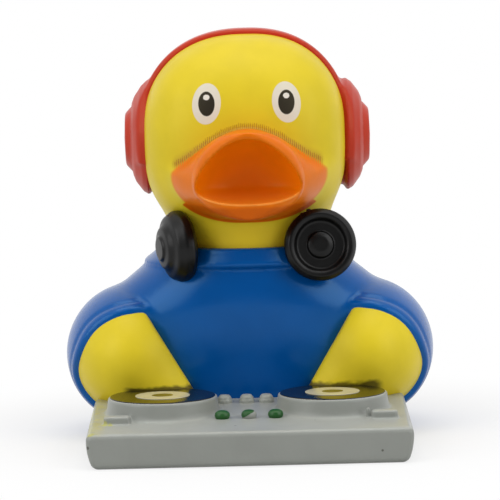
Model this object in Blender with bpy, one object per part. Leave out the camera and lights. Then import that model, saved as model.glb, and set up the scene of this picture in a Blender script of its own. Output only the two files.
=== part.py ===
"""A rubber duck that wears headphones and stands at a mixing desk: one hollow vinyl moulding, painted.

The duck looks along -Y and +Z is up. The origin is on the flat underside, below the middle of the head.
"""

import math

import bmesh
import bpy
from mathutils import Euler, Matrix, Vector

MM = 0.001
SEGMENTS = 36
TORSO_SEGMENTS = 40
SMALL_SEGMENTS = 26
HOLLOW_SEGMENTS = 22
CUTTER_REACH = 80.0
SHARP_ANGLE = math.radians(40)

# The moulding. The forms run a little below the underside, which is then cut flat.
WALL = 1.8
HOLLOW_DESK_INSET = 2.0
HOLLOW_NECK_FOOT = 30.0
HOLLOW_NECK_TOP = 50.0
VENT_RADIUS = 1.5
VENT_Y = 12.0
VENT_TOP = 6.0
FOOT_DROP = 3.0

# The head and the neck
HEAD_CENTRE = Vector((0, 0, 61.0))
HEAD_RADII = Vector((20.8, 21.0, 22.1))
HEAD_SQUARENESS = 2.3
HEAD_PLAN_SQUARENESS = 2.8
NECK_RADIUS = 16.4
NECK_FLARE = ((33.0, 0.0), (42.0, 0.0), (46.0, 0.5), (50.0, 1.6))

# The bill. It runs from a root in the head to its tip, and the lower half is the shorter one.
BILL_ROOT_Y = -11.0
BILL_FRONT_Y = -26.5
BILL_TIP_Y = -33.4
BILL_ROOT_HALF_WIDTH = 16.6
BILL_FRONT_HALF_WIDTH = 11.3
BILL_TOP = 63.9
BILL_ROOT_CORNER = 55.2
BILL_FRONT_CORNER = 53.6
BILL_ROOT_BOTTOM = 45.6
BILL_FRONT_BOTTOM = 47.2
BILL_TAPER = 1.4
BILL_TIP_SHARE = 0.1
BILL_STEPS = 10
BILL_UNDERCUT = 2.4
BILL_ROUNDNESS = 2.6
BILL_ROOT_SQUARENESS = 1.6
BILL_FRONT_SQUARENESS = 2.0

# The open mouth, a bowl that narrows from the bill's front to the throat
MOUTH_FRONT_Y = -29.0
THROAT_Y = -21.0
MOUTH_HALF_WIDTH = 10.3
MOUTH_TOP = 62.6
MOUTH_CORNER = 52.8
MOUTH_BOTTOM = 49.6
MOUTH_SQUARENESS = 1.8
MOUTH_STEPS = 6
MOUTH_RUN_OUT = 4.0

# The headphones on the head. A profile holds radii and distances along the axis.
EARCUP_Y = 2.5
EARCUP_HEIGHT = 61.2
EARCUP_PROFILE = (
    (0, 17.0),
    (10.2, 17.0),
    (10.5, 20.0),
    (11.9, 20.8),
    (11.3, 21.8),
    (8.8, 23.5),
    (7.4, 24.0),
    (6.3, 24.2),
    (6.0, 25.3),
    (5.4, 25.7),
    (0, 25.8),
)
HEADBAND_THICKNESS = 1.1
HEADBAND_HALF_WIDTH = 4.6
HEADBAND_ENDS = (math.radians(-4), math.radians(184))
HEADBAND_STEPS = 30
HEADBAND_SECTION = ((-1, -1.2), (-1, 0.7), (-0.9, 1.0), (0.9, 1.0), (1, 0.7), (1, -1.2))

# The headphones round the neck
CUP_PROFILE = (
    (0, -4.2),
    (3.3, -4.0),
    (4.2, -3.3),
    (4.4, -2.4),
    (6.2, -2.0),
    (7.2, -0.6),
    (7.4, 0.6),
    (7.0, 1.7),
    (6.2, 2.1),
    (5.4, 1.7),
    (4.8, 0.9),
    (2.8, 0.9),
    (2.5, 1.5),
    (1.6, 1.9),
    (0, 2.0),
)
LEFT_CUP_CENTRE = Vector((-14.7, -13.8, 39.8))
LEFT_CUP_AXIS = Vector((0.93, 0.34, 0.06))
RIGHT_CUP_CENTRE = Vector((14.4, -17.2, 40.6))
RIGHT_CUP_AXIS = Vector((0.10, -0.99, 0.10))
NAPE_BAND_HEIGHT = 41.2
NAPE_BAND_HALF_HEIGHT = 2.0
NAPE_BAND_THICKNESS = 1.6
NAPE_BAND_ENDS = (math.radians(-48), math.radians(228))
NAPE_BAND_STEPS = 26
NAPE_BAND_SECTION = ((-1, -1.2), (-1, 0.6), (-0.7, 1.0), (0.7, 1.0), (1, 0.6), (1, -1.2))

# The shirt's body: height, half width, belly's reach and back's reach. The body and the desk sit a little off
# the head's axis.
BODY_X = -0.5
TORSO_SECTIONS = (
    (-3.0, 30.0, 14.0, 24.5),
    (3.0, 32.0, 15.2, 27.2),
    (8.0, 33.0, 16.2, 28.6),
    (14.0, 33.5, 17.2, 29.0),
    (19.0, 33.2, 18.0, 28.4),
    (24.0, 31.8, 18.6, 26.6),
    (28.0, 29.4, 18.8, 24.0),
    (31.5, 26.0, 18.5, 21.4),
    (34.0, 23.0, 18.0, 19.7),
    (36.5, 20.0, 17.4, 18.4),
    (38.4, 17.2, 16.6, 17.0),
    (38.8, 13.0, 13.0, 13.0),
)
TORSO_SQUARENESS = 2.1
COLLAR_SECTIONS = (
    (34.9, 15.0, 15.0, 15.0),
    (35.2, 21.9, 18.4, 19.6),
    (36.0, 21.6, 19.0, 20.1),
    (37.4, 19.9, 18.6, 19.5),
    (38.8, 18.4, 17.9, 18.5),
    (39.5, 17.3, 17.1, 17.3),
    (39.6, 14.0, 14.0, 14.0),
)

# The sleeves, cut off at the cuffs. The arms bulge out of them and have a straight inner edge.
SLEEVE_CENTRE = Vector((24.2, -2.0, 16.7))
SLEEVE_RADII = Vector((14.2, 20.0, 14.6))
SLEEVE_ROWS = 11
CUFF_REACH = 11.6
CUFF_THICKNESS = 1.1
CUFF_EDGE = 0.4
HAND_CENTRE = Vector((16.5, -13.2, 7.0))
HAND_RADII = Vector((8.5, 7.5, 7.5))
ARM_EDGE_TOP = Vector((20.9, 0, 26.8))
ARM_EDGE_FOOT = Vector((10.8, 0, 11.0))

# The tail, which curls up behind the back
TAIL_ROOT = Vector((0, 21.0, 13.0))
TAIL_REACH = 17.0
TAIL_RISE = 13.0
TAIL_HALF_WIDTH = 12.5
TAIL_HALF_HEIGHT = 8.0
TAIL_CURL = math.radians(60)
TAIL_TAPER = 2.2
TAIL_STEPS = 9

# The mixing desk
DESK_FRONT_Y = -51.0
DESK_BACK_Y = -12.0
DESK_TOP_HALF_WIDTH = 32.2
DESK_FOOT_HALF_WIDTH = 31.2
DESK_FRONT_HEIGHT = 6.9
DESK_SLOPE = math.radians(2.5)
DESK_EDGE = 0.9

# The turntables. Their records lie level, though the desk slopes.
TURNTABLE_X = 17.0
TURNTABLE_Y = -28.6
TURNTABLE_PROFILE = (
    (0, 4.0),
    (11.4, 4.0),
    (11.2, 7.6),
    (10.8, 10.5),
    (10.6, 10.8),
    (10.5, 11.15),
    (5.6, 11.15),
    (5.6, 11.25),
    (0, 11.25),
)
PICKUP_X = 26.4
PICKUP_Y = -39.8
PICKUP_SIZE = Vector((5.2, 3.2, 1.5))
PICKUP_EDGE = 0.4
PEG_X = 23.3
PEG_SIZE = Vector((0.9, 0.9, 2.0))
MOUNT_DEPTH = 1.0

# The knobs stand in a row at the back of the desk and the buttons in a row in front of them
KNOB_Y = -20.6
KNOB_PROFILE = ((0, -1.0), (1.5, -1.0), (1.5, 0.9), (1.1, 1.5), (0, 1.6))
BUTTON_Y = -37.0
BUTTON_PROFILE = ((0, -1.0), (1.55, -1.0), (1.5, 0.6), (0.9, 1.3), (0, 1.45))
CONTROL_XS = (-4.4, 0.1, 4.6)
CONTROL_SEGMENTS = 14


def clear_scene():
    for item in list(bpy.data.objects):
        bpy.data.objects.remove(item)


def paint(name, colour, roughness):
    material = bpy.data.materials.new(name)
    material.use_nodes = True
    shader = material.node_tree.nodes["Principled BSDF"]
    shader.inputs["Base Color"].default_value = (*colour, 1.0)
    shader.inputs["Roughness"].default_value = roughness
    return material


def skin(name, rings, material):
    """Close a solid over rings of points in millimetres. A ring of one point ends it in a tip."""
    mesh = bmesh.new()
    rows = [[mesh.verts.new(point * MM) for point in ring] for ring in rings]
    for row, following in zip(rows, rows[1:]):
        for index in range(max(len(row), len(following))):
            corners = (
                row[index % len(row)],
                row[(index + 1) % len(row)],
                following[(index + 1) % len(following)],
                following[index % len(following)],
            )
            mesh.faces.new(list(dict.fromkeys(corners)))
    for row in (rows[0], rows[-1]):
        if len(row) > 1:
            mesh.faces.new(row)
    bmesh.ops.recalc_face_normals(mesh, faces=mesh.faces)
    data = bpy.data.meshes.new(name)
    mesh.to_mesh(data)
    mesh.free()
    data.materials.append(material)
    item = bpy.data.objects.new(name, data)
    bpy.context.collection.objects.link(item)
    return item


def superellipse(angle, squareness):
    """A point on the unit superellipse, which is a circle where the squareness is 2."""
    across, along = math.cos(angle), math.sin(angle)
    power = 2 / squareness
    return math.copysign(abs(across) ** power, across), math.copysign(abs(along) ** power, along)


def oval(height, half_width, front, back, squareness=2.0, segments=SEGMENTS):
    """A level ring whose front and back may reach out differently."""
    ring = []
    for step in range(segments):
        across, along = superellipse(2 * math.pi * step / segments, squareness)
        reach = back if along > 0 else front
        ring.append(Vector((half_width * across, reach * along, height)))
    return ring


def ball(name, centre, radii, material, squareness=2.0, plan_squareness=2.0, segments=SEGMENTS):
    """A superellipsoid with its poles above and below, which may be squarer from the front and from above."""
    rows = segments // 2
    rings = []
    for row in range(rows + 1):
        share, height = superellipse(math.pi * (row / rows - 0.5), squareness)
        if row in (0, rows):
            ring = [Vector((0, 0, radii.z * height))]
        else:
            reach = radii.y * share
            ring = oval(radii.z * height, radii.x * share, reach, reach, plan_squareness, segments)
        rings.append([centre + point for point in ring])
    return skin(name, rings, material)


def turned(name, profile, place, material, segments=SEGMENTS):
    """A turned solid: the profile's radii and distances run about and along the place's Z axis."""
    rings = []
    for radius, distance in profile:
        circle = oval(distance, radius, radius, radius, segments=segments)
        ring = circle if radius else circle[:1]
        rings.append([place @ point for point in ring])
    return skin(name, rings, material)


def facing(centre, axis):
    """The place of a turned solid whose axis points along the one given."""
    return Matrix.Translation(centre) @ axis.to_track_quat("Z", "Y").to_matrix().to_4x4()


def brick(name, low, high, material):
    """An upright block between two corners."""
    rings = []
    for height in (low.z, high.z):
        corners = ((low.x, low.y), (high.x, low.y), (high.x, high.y), (low.x, high.y))
        rings.append([Vector((x, y, height)) for x, y in corners])
    return skin(name, rings, material)


def bevel(item, width, segments):
    """Round every edge of a block."""
    mesh = bmesh.new()
    mesh.from_mesh(item.data)
    bmesh.ops.bevel(mesh, geom=mesh.edges, offset=width * MM, segments=segments, profile=0.5, affect="EDGES")
    mesh.to_mesh(item.data)
    mesh.free()


def combine(base, others, operation):
    """Apply a Boolean of the base with each of the others, which are used up by it.

    The exact solver leaves open edges from the nape band on, so all of them use the one for closed solids.
    """
    for other in others:
        modifier = base.modifiers.new("combine", "BOOLEAN")
        modifier.operation = operation
        modifier.solver = "MANIFOLD"
        modifier.material_mode = "TRANSFER"
        modifier.object = other
        bpy.context.view_layer.update()
        data = bpy.data.meshes.new_from_object(base.evaluated_get(bpy.context.evaluated_depsgraph_get()))
        base.modifiers.clear()
        base.data = data
        bpy.data.objects.remove(other)


def bill_sections():
    """The bill's rings: ovals that narrow to the front, then close over the tip."""
    rings = []
    for step in range(BILL_STEPS + 1):
        y = BILL_ROOT_Y + (BILL_TIP_Y - BILL_ROOT_Y) * math.sin(math.pi / 2 * step / BILL_STEPS)
        along = (y - BILL_ROOT_Y) / (BILL_TIP_Y - BILL_ROOT_Y)
        to_front = min(1.0, (y - BILL_ROOT_Y) / (BILL_FRONT_Y - BILL_ROOT_Y))
        widening = (BILL_FRONT_HALF_WIDTH - BILL_ROOT_HALF_WIDTH) * to_front ** BILL_TAPER
        half_width = BILL_ROOT_HALF_WIDTH + widening
        if y < BILL_FRONT_Y:
            past_front = (y - BILL_FRONT_Y) / (BILL_TIP_Y - BILL_FRONT_Y)
            half_width *= max(BILL_TIP_SHARE, 1 - past_front ** BILL_ROUNDNESS) ** (1 / BILL_ROUNDNESS)
        corner = BILL_ROOT_CORNER + (BILL_FRONT_CORNER - BILL_ROOT_CORNER) * to_front
        bottom = BILL_ROOT_BOTTOM + (BILL_FRONT_BOTTOM - BILL_ROOT_BOTTOM) * to_front
        squareness = BILL_ROOT_SQUARENESS + (BILL_FRONT_SQUARENESS - BILL_ROOT_SQUARENESS) * to_front
        ring = []
        for point in upright_oval(y, half_width, BILL_TOP, corner, bottom, squareness):
            point.y += BILL_UNDERCUT * along * (BILL_TOP - point.z) / (BILL_TOP - bottom)
            ring.append(point)
        rings.append(ring)
    return rings


def upright_oval(y, half_width, top, corner, bottom, top_squareness=2.0, segments=SEGMENTS):
    """A ring that stands across the duck, widest at the corner's height."""
    ring = []
    for step in range(segments):
        angle = 2 * math.pi * step / segments
        across, up = superellipse(angle, top_squareness if math.sin(angle) > 0 else 2.0)
        height = (top - corner) if up > 0 else (corner - bottom)
        ring.append(Vector((half_width * across, y, corner + height * up)))
    return ring


def make_bill(material):
    bill = skin("bill", bill_sections(), material)
    places = [(THROAT_Y, 0.0)]
    for step in range(1, MOUTH_STEPS + 1):
        angle = math.pi / 2 * step / MOUTH_STEPS
        places.append((MOUTH_FRONT_Y + (THROAT_Y - MOUTH_FRONT_Y) * math.cos(angle), math.sin(angle)))
    places.append((BILL_TIP_Y - MOUTH_RUN_OUT, 1.0))
    mouth = []
    for y, share in places:
        top = MOUTH_CORNER + (MOUTH_TOP - MOUTH_CORNER) * share
        bottom = MOUTH_CORNER + (MOUTH_BOTTOM - MOUTH_CORNER) * share
        ring = upright_oval(y, MOUTH_HALF_WIDTH * share, top, MOUTH_CORNER, bottom, MOUTH_SQUARENESS)
        mouth.append(ring if share else ring[:1])
    return bill, skin("mouth", mouth, material)


def make_headband(material):
    """A band over the head, from one ear cup to the other."""
    start, end = HEADBAND_ENDS
    rings = []
    for step in range(HEADBAND_STEPS + 1):
        angle = start + (end - start) * step / HEADBAND_STEPS
        across, up = superellipse(angle, HEAD_SQUARENESS)
        surface = Vector((HEAD_RADII.x * across, 0, HEAD_RADII.z * up))
        power = HEAD_SQUARENESS - 1
        slope_x = math.copysign(abs(across) ** power, across) / HEAD_RADII.x
        slope_z = math.copysign(abs(up) ** power, up) / HEAD_RADII.z
        outwards = Vector((slope_x, 0, slope_z)).normalized()
        ring = []
        for side, lift in HEADBAND_SECTION:
            offset = outwards * (HEADBAND_THICKNESS * lift)
            ring.append(HEAD_CENTRE + surface + offset + Vector((0, HEADBAND_HALF_WIDTH * side, 0)))
        rings.append(ring)
    return skin("headband", rings, material)


def make_nape_band(material):
    """A band behind the neck that joins the two cups."""
    start, end = NAPE_BAND_ENDS
    rings = []
    for step in range(NAPE_BAND_STEPS + 1):
        angle = start + (end - start) * step / NAPE_BAND_STEPS
        outwards = Vector((math.cos(angle), math.sin(angle), 0))
        ring = []
        for up, lift in NAPE_BAND_SECTION:
            radius = NECK_RADIUS + NAPE_BAND_THICKNESS * lift
            ring.append(outwards * radius + Vector((0, 0, NAPE_BAND_HEIGHT + NAPE_BAND_HALF_HEIGHT * up)))
        rings.append(ring)
    return skin("nape_band", rings, material)


def make_sleeve(side, material):
    """A round sleeve that is cut off flat at the cuff, with a bevelled edge."""
    centre = Vector((side * SLEEVE_CENTRE.x, SLEEVE_CENTRE.y, SLEEVE_CENTRE.z))
    end_angle = math.asin((CUFF_REACH - CUFF_EDGE) / SLEEVE_RADII.y)
    places = []
    for row in range(1, SLEEVE_ROWS + 1):
        angle = math.pi / 2 - (math.pi / 2 + end_angle) * row / SLEEVE_ROWS
        places.append((SLEEVE_RADII.y * math.sin(angle), math.cos(angle), 0.0))
    places.append((-CUFF_REACH, math.cos(end_angle), CUFF_EDGE))
    rings = [[centre + Vector((0, SLEEVE_RADII.y, 0))]]
    for y, share, inset in places:
        half_width, half_height = SLEEVE_RADII.x * share - inset, SLEEVE_RADII.z * share - inset
        ring = upright_oval(y, half_width, half_height, 0, -half_height)
        rings.append([centre + point for point in ring])
    return skin("sleeve", rings, material)


def make_arm(side, material):
    """An arm as round as the sleeve that it fills, with a hand at its foot, cut along its inner edge."""
    centre = Vector((side * SLEEVE_CENTRE.x, SLEEVE_CENTRE.y, SLEEVE_CENTRE.z))
    arm = ball("arm", centre, SLEEVE_RADII - Vector((CUFF_THICKNESS,) * 3), material, segments=SMALL_SEGMENTS)
    centre = Vector((side * HAND_CENTRE.x, HAND_CENTRE.y, HAND_CENTRE.z))
    hand = ball("hand", centre, HAND_RADII, material, segments=HOLLOW_SEGMENTS)
    top, foot = (Vector((side * point.x, point.y, point.z)) for point in (ARM_EDGE_TOP, ARM_EDGE_FOOT))
    along = (top - foot).normalized()
    inwards = Vector((-side * abs(along.z), 0, abs(along.x)))
    rings = []
    for y in (-CUTTER_REACH, CUTTER_REACH):
        ring = []
        for reach, out in ((-1, 0), (1, 0), (1, 1), (-1, 1)):
            across = along * reach + inwards * out
            ring.append(top + across * CUTTER_REACH + Vector((0, y, 0)))
        rings.append(ring)
    combine(arm, [hand], "UNION")
    combine(arm, [skin("edge", rings, material)], "DIFFERENCE")
    return arm


def make_tail(material):
    """A tail of flat ovals along a curve that rises to a point."""
    rings = []
    for step in range(TAIL_STEPS):
        along = step / TAIL_STEPS
        centre = TAIL_ROOT + Vector((0, TAIL_REACH * math.sin(along * math.pi / 2), TAIL_RISE * along ** 2))
        share = 1 - along ** TAIL_TAPER
        lean = Euler((TAIL_CURL * along, 0, 0)).to_matrix()
        ring = []
        half_width, half_height = TAIL_HALF_WIDTH * share, TAIL_HALF_HEIGHT * share
        for point in upright_oval(0, half_width, half_height, 0, -half_height, segments=HOLLOW_SEGMENTS):
            ring.append(centre + lean @ point)
        rings.append(ring)
    rings.append([TAIL_ROOT + Vector((0, TAIL_REACH, TAIL_RISE))])
    return skin("tail", rings, material)


def desk_height(y):
    return DESK_FRONT_HEIGHT + (y - DESK_FRONT_Y) * math.tan(DESK_SLOPE)


def desk_block(name, inset, foot, material):
    """The desk, or with an inset the hollow inside it."""
    front, back = DESK_FRONT_Y + inset, DESK_BACK_Y
    rings = []
    for level, half_width in ((0, DESK_FOOT_HALF_WIDTH - inset), (1, DESK_TOP_HALF_WIDTH - inset)):
        ring = []
        for x, y in ((-1, front), (1, front), (1, back), (-1, back)):
            height = desk_height(y) - inset if level else foot
            ring.append(Vector((x * half_width, y, height)))
        rings.append(ring)
    return skin(name, rings, material)


def desk_brick(name, x, size, edge, material):
    """A small block on the desk, in the pickups' row."""
    foot = Vector((x, PICKUP_Y, desk_height(PICKUP_Y)))
    half = Vector((size.x / 2, size.y / 2, 0))
    low, high = foot - half - Vector((0, 0, MOUNT_DEPTH)), foot + half + Vector((0, 0, size.z))
    block = brick(name, low, high, material)
    if edge:
        bevel(block, edge, 1)
    return block


def make_desk(material):
    desk = desk_block("desk", 0.0, -FOOT_DROP, material)
    bevel(desk, DESK_EDGE, 2)
    parts = [desk]
    for side in (-1, 1):
        place = Matrix.Translation((side * TURNTABLE_X, TURNTABLE_Y, 0))
        parts.append(turned("turntable", TURNTABLE_PROFILE, place, material))
        parts.append(desk_brick("pickup", side * PICKUP_X, PICKUP_SIZE, PICKUP_EDGE, material))
    parts.append(desk_brick("peg", PEG_X, PEG_SIZE, 0, material))
    for x in CONTROL_XS:
        for y, profile in ((KNOB_Y, KNOB_PROFILE), (BUTTON_Y, BUTTON_PROFILE)):
            place = Matrix.Translation((x, y, desk_height(y)))
            parts.append(turned("control", profile, place, material, CONTROL_SEGMENTS))
    return parts


def shift(items):
    """Move what belongs to the body off the head's axis."""
    for item in items:
        item.data.transform(Matrix.Translation((BODY_X * MM, 0, 0)))
    return items


def make_cavity(material):
    """The hollow inside the moulding, one wall's thickness in from the outside."""
    inner = HEAD_RADII - Vector((WALL,) * 3)
    squareness = (HEAD_SQUARENESS, HEAD_PLAN_SQUARENESS)
    head = ball("hollow_head", HEAD_CENTRE, inner, material, *squareness, HOLLOW_SEGMENTS)
    neck = NECK_RADIUS - WALL
    ends = (HOLLOW_NECK_FOOT, HOLLOW_NECK_TOP)
    neck_rings = [oval(z, neck, neck, neck, segments=HOLLOW_SEGMENTS) for z in ends]
    torso_rings = []
    for height, half_width, front, back in TORSO_SECTIONS[1:-2]:
        level = max(height, WALL)
        ring = oval(level, half_width - WALL, front - WALL, back - WALL, TORSO_SQUARENESS, HOLLOW_SEGMENTS)
        torso_rings.append(ring)
    parts = [skin("hollow_torso", torso_rings, material)]
    parts.append(desk_block("hollow_desk", HOLLOW_DESK_INSET, WALL, material))
    for side in (-1, 1):
        centre = Vector((side * (SLEEVE_CENTRE.x + WALL), SLEEVE_CENTRE.y, SLEEVE_CENTRE.z))
        radii = SLEEVE_RADII - Vector((3 * WALL, 2 * WALL, 2 * WALL))
        parts.append(ball("hollow_arm", centre, radii, material, segments=HOLLOW_SEGMENTS))
    combine(head, [skin("hollow_neck", neck_rings, material), *shift(parts)], "UNION")
    return head


def make_headphones(red, black):
    """The red headphones on the head and the black ones round the neck."""
    parts = [make_headband(red), make_nape_band(black)]
    for side in (-1, 1):
        place = facing(Vector((0, EARCUP_Y, EARCUP_HEIGHT)), Vector((side, 0, 0)))
        parts.append(turned("earcup", EARCUP_PROFILE, place, red))
    for centre, axis in ((LEFT_CUP_CENTRE, LEFT_CUP_AXIS), (RIGHT_CUP_CENTRE, RIGHT_CUP_AXIS)):
        parts.append(turned("neck_cup", CUP_PROFILE, facing(centre, axis), black, SMALL_SEGMENTS))
    return parts


def make_shirt(blue, yellow):
    """The body with its collar, the sleeves, and the arms in them."""
    torso = [oval(*section, TORSO_SQUARENESS, TORSO_SEGMENTS) for section in TORSO_SECTIONS]
    collar = [oval(*section, TORSO_SQUARENESS, TORSO_SEGMENTS) for section in COLLAR_SECTIONS]
    parts = [skin("torso", torso, blue), skin("collar", collar, blue)]
    for side in (-1, 1):
        parts.append(make_sleeve(side, blue))
        parts.append(make_arm(side, yellow))
    return parts


def make_duck():
    yellow = paint("yellow_vinyl", (0.78, 0.60, 0.045), 0.38)
    orange = paint("orange_paint", (0.78, 0.16, 0.01), 0.35)
    red = paint("red_paint", (0.50, 0.045, 0.025), 0.38)
    black = paint("black_paint", (0.012, 0.011, 0.012), 0.30)
    blue = paint("blue_paint", (0.008, 0.08, 0.32), 0.30)
    grey = paint("grey_paint", (0.30, 0.32, 0.30), 0.42)

    duck = ball("duck", HEAD_CENTRE, HEAD_RADII, yellow, HEAD_SQUARENESS, HEAD_PLAN_SQUARENESS)
    neck_rings = [oval(z, *[NECK_RADIUS + out] * 3) for z, out in NECK_FLARE]
    bill, mouth = make_bill(orange)
    parts = [skin("neck", neck_rings, yellow), bill]
    parts.extend(make_headphones(red, black))
    parts.extend(shift([*make_shirt(blue, yellow), make_tail(yellow), *make_desk(grey)]))
    combine(duck, parts, "UNION")

    low = Vector((-CUTTER_REACH, -CUTTER_REACH, -CUTTER_REACH))
    below = brick("below", low, Vector((CUTTER_REACH, CUTTER_REACH, 0)), yellow)
    place = Matrix.Translation((0, VENT_Y, 0))
    profile = ((VENT_RADIUS, -FOOT_DROP), (VENT_RADIUS, VENT_TOP))
    vent = turned("vent", profile, place, yellow, HOLLOW_SEGMENTS)
    combine(duck, [mouth, below, make_cavity(yellow), vent], "DIFFERENCE")
    duck.data.shade_smooth()
    duck.data.set_sharp_from_angle(angle=SHARP_ANGLE)
    return duck


clear_scene()
make_duck()
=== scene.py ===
"""The looks of a rubber duck with headphones that stands behind a small mixing desk.

Sizes are in millimetres and become metres where meshes are made. The duck looks along -Y, and
+X is its left. The soft forms are fields, which are negative inside and grow by one for each
millimetre outwards. They are joined with round hollows between them, as in a moulding, and then
skinned.
"""

import math

import bpy
import numpy as np
from mathutils import Euler, Matrix, Vector


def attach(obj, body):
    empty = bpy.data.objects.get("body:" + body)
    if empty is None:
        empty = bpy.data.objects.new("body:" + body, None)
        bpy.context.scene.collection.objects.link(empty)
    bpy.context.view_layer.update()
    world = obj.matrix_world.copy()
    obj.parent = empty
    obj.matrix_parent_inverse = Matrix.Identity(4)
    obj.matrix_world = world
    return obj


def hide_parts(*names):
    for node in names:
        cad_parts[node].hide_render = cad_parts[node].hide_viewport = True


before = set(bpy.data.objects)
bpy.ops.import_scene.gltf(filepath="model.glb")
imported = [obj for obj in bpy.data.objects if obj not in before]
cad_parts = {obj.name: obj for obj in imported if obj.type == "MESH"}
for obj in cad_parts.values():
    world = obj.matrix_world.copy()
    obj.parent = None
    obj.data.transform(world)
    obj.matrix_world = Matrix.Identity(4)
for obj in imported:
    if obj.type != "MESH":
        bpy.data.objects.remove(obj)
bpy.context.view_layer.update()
MM = 0.001

# The points of the fields stand this far off round numbers, where a field may be exactly zero
NUDGE = 0.0137

# The head, the neck and the eyes
HEAD_CENTRE = (0.0, 0.0, 61.0)
HEAD_RADII = (20.8, 21.0, 22.1)
HEAD_SQUARENESS = 2.3
HEAD_PLAN_SQUARENESS = 2.8
HEAD_RIGHT_EXCESS = 0.055
NECK_RADIUS = 16.4
NECK_TOP = 60.0
NECK_FOOT = 34.0
NECK_BLEND = 3.0
EYE_X = 8.1
EYE_HEIGHT = 69.2
EYE_SIZE = (2.9, 4.15)
EYE_LEAN = math.radians(7.5)
PUPIL_SIZE = (1.68, 2.5)
GLINT_SIZE = (0.7, 0.6)
GLINT_RISE = 1.3
EYES_BACK_Y = -5.0

# The bill and the mouth. Pairs hold the values at the bill's root and at its front, and the
# squareness has a value for each place between the two. The crest is how blunt the ridge is.
BILL_ROOT_Y = -11.0
BILL_FRONT_Y = -26.5
BILL_TIP_Y = -33.4
BILL_HALF_WIDTHS = (17.9, 11.3)
BILL_TOP = 63.9
BILL_CORNERS = (56.6, 53.6)
BILL_BOTTOMS = (44.3, 46.3)
BILL_UNDERCUT = 2.4
BILL_UNDERCUT_HEIGHT = 17.0
BILL_TAPER = 1.4
BILL_ROUNDNESS = 2.6
BILL_SCALE = 6.0
BILL_BLEND = 1.2
BILL_SQUARENESS = ((0.0, 1.6), (0.36, 1.5), (0.62, 1.33), (1.0, 2.0))
CREST = 0.12
MOUTH_HALF_WIDTH = 10.6
MOUTH_TOP = 62.6
MOUTH_CORNER = 52.8
MOUTH_BOTTOM = 49.6
MOUTH_SQUARENESS = 1.52
MOUTH_FRONT_Y = -29.0
MOUTH_EDGE = 0.4
THROAT_Y = -21.0

# The brushed edge of the orange paint above the bill, and the heights and places where paint fades
FRINGE = 1.7
STREAK = 0.4
FRINGE_HEIGHTS = (55.6, 57.4)
FRINGE_SIDES = (14.6, 15.8)
FRINGE_NARROWS = (6.0, 14.0)
# Below these heights the bill's orange darkens with painted shade, and its paint reaches further down
UNDER_SHADE_AND_SPILL_HEIGHTS = (48.4, 49.2)
# Below these heights the lower lip's rim carries a painted highlight
LIP_HIGHLIGHT_HEIGHTS = (50.6, 51.8)

# The shirt's body: height, half width, belly's reach and back's reach. It sits off the head's axis.
BODY_X = -0.5
TORSO = (
    (-6.0, 29.0, 13.4, 23.0),
    (-3.0, 30.0, 14.0, 24.5),
    (3.0, 32.0, 15.2, 27.2),
    (8.0, 33.0, 16.2, 28.6),
    (14.0, 33.5, 17.2, 29.0),
    (19.0, 33.2, 18.0, 28.4),
    (24.0, 31.8, 18.6, 26.6),
    (28.0, 29.4, 18.8, 24.0),
    (31.5, 26.0, 18.5, 21.4),
    (34.0, 23.0, 18.0, 19.7),
    (36.5, 20.0, 17.4, 18.4),
    (38.4, 17.2, 16.6, 17.0),
    (41.0, 13.0, 13.0, 13.0),
)
TORSO_SQUARENESS = 2.1
TORSO_TOP = 39.0
COLLAR = (
    (35.2, 21.9, 18.4, 19.6),
    (36.0, 21.6, 19.0, 20.1),
    (37.4, 19.9, 18.6, 19.5),
    (38.8, 18.4, 17.9, 18.5),
)
COLLAR_HEIGHTS = (35.3, 39.4)
COLLAR_EDGE = 0.8
COLLAR_BLEND = 0.5

# The sleeves, whose cuffs lean forward at the top and go back to both sides, and the arms in them
SLEEVE_CENTRE = (24.2, -2.0, 16.7)
SLEEVE_RADII = (14.2, 20.0, 14.6)
SLEEVE_BLEND = 1.1
ARM_RADII = (13.1, 19.7, 13.5)
CUFF_Y = -14.2
CUFF_SWEEP = 0.2
CUFF_INNER_SWEEP = 0.3
CUFF_INNER_START = 4.0
CUFF_INNER_SOFTNESS = 2.0
CUFF_INNER_LIMIT = 8.0
CUFF_LEAN = 2.9
CUFF_HEIGHT = 15.4
CUFF_BEND = 4.0
CUFF_EDGE = 0.7
HEM_WIDTH = 2.2
HEM_GROOVE = 0.3
HEM_GROOVE_WIDTH = 0.5
HEM_START = -4.0
HEM_FADE = 6.0
HAND_CENTRE = (16.5, -13.2, 7.0)
HAND_RADII = (8.5, 7.5, 7.5)
HAND_BLEND = 6.0
ARM_EDGE_TOP = (21.5, 26.8)
ARM_EDGE_FOOT = (12.1, 11.0)
ARM_EDGE_ROUNDING = 0.5
# Across these distances from the middle, the painted shade where the hands meet the records fades out
CONTACT_SHADE_SIDES = (25.0, 27.0)

# The headphones on the head. A profile holds radii and distances along the axis.
EARCUP_HEIGHT = 61.2
EARCUP_Y = 2.5
EARCUP_PROFILE = (
    (0, 17.0),
    (10.2, 17.0),
    (10.4, 20.0),
    (11.5, 20.8),
    (10.9, 21.8),
    (8.9, 23.3),
    (7.4, 23.9),
    (6.9, 23.8),
    (6.3, 24.4),
    (5.3, 25.3),
    (0, 25.6),
)
EARCUP_ROUNDING = 0.2
EARCUP_BLEND = 2.0
HEADBAND_THICKNESS = 0.9
HEADBAND_SINK = 1.2
HEADBAND_HALF_WIDTH = 4.6
HEADBAND_FLARE = 3.2
HEADBAND_FLARE_TOP = 14.0
HEADBAND_FLARE_HEIGHT = 12.0
HEADBAND_FOOT = 4.0
HEADBAND_EDGE = 1.0

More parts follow.
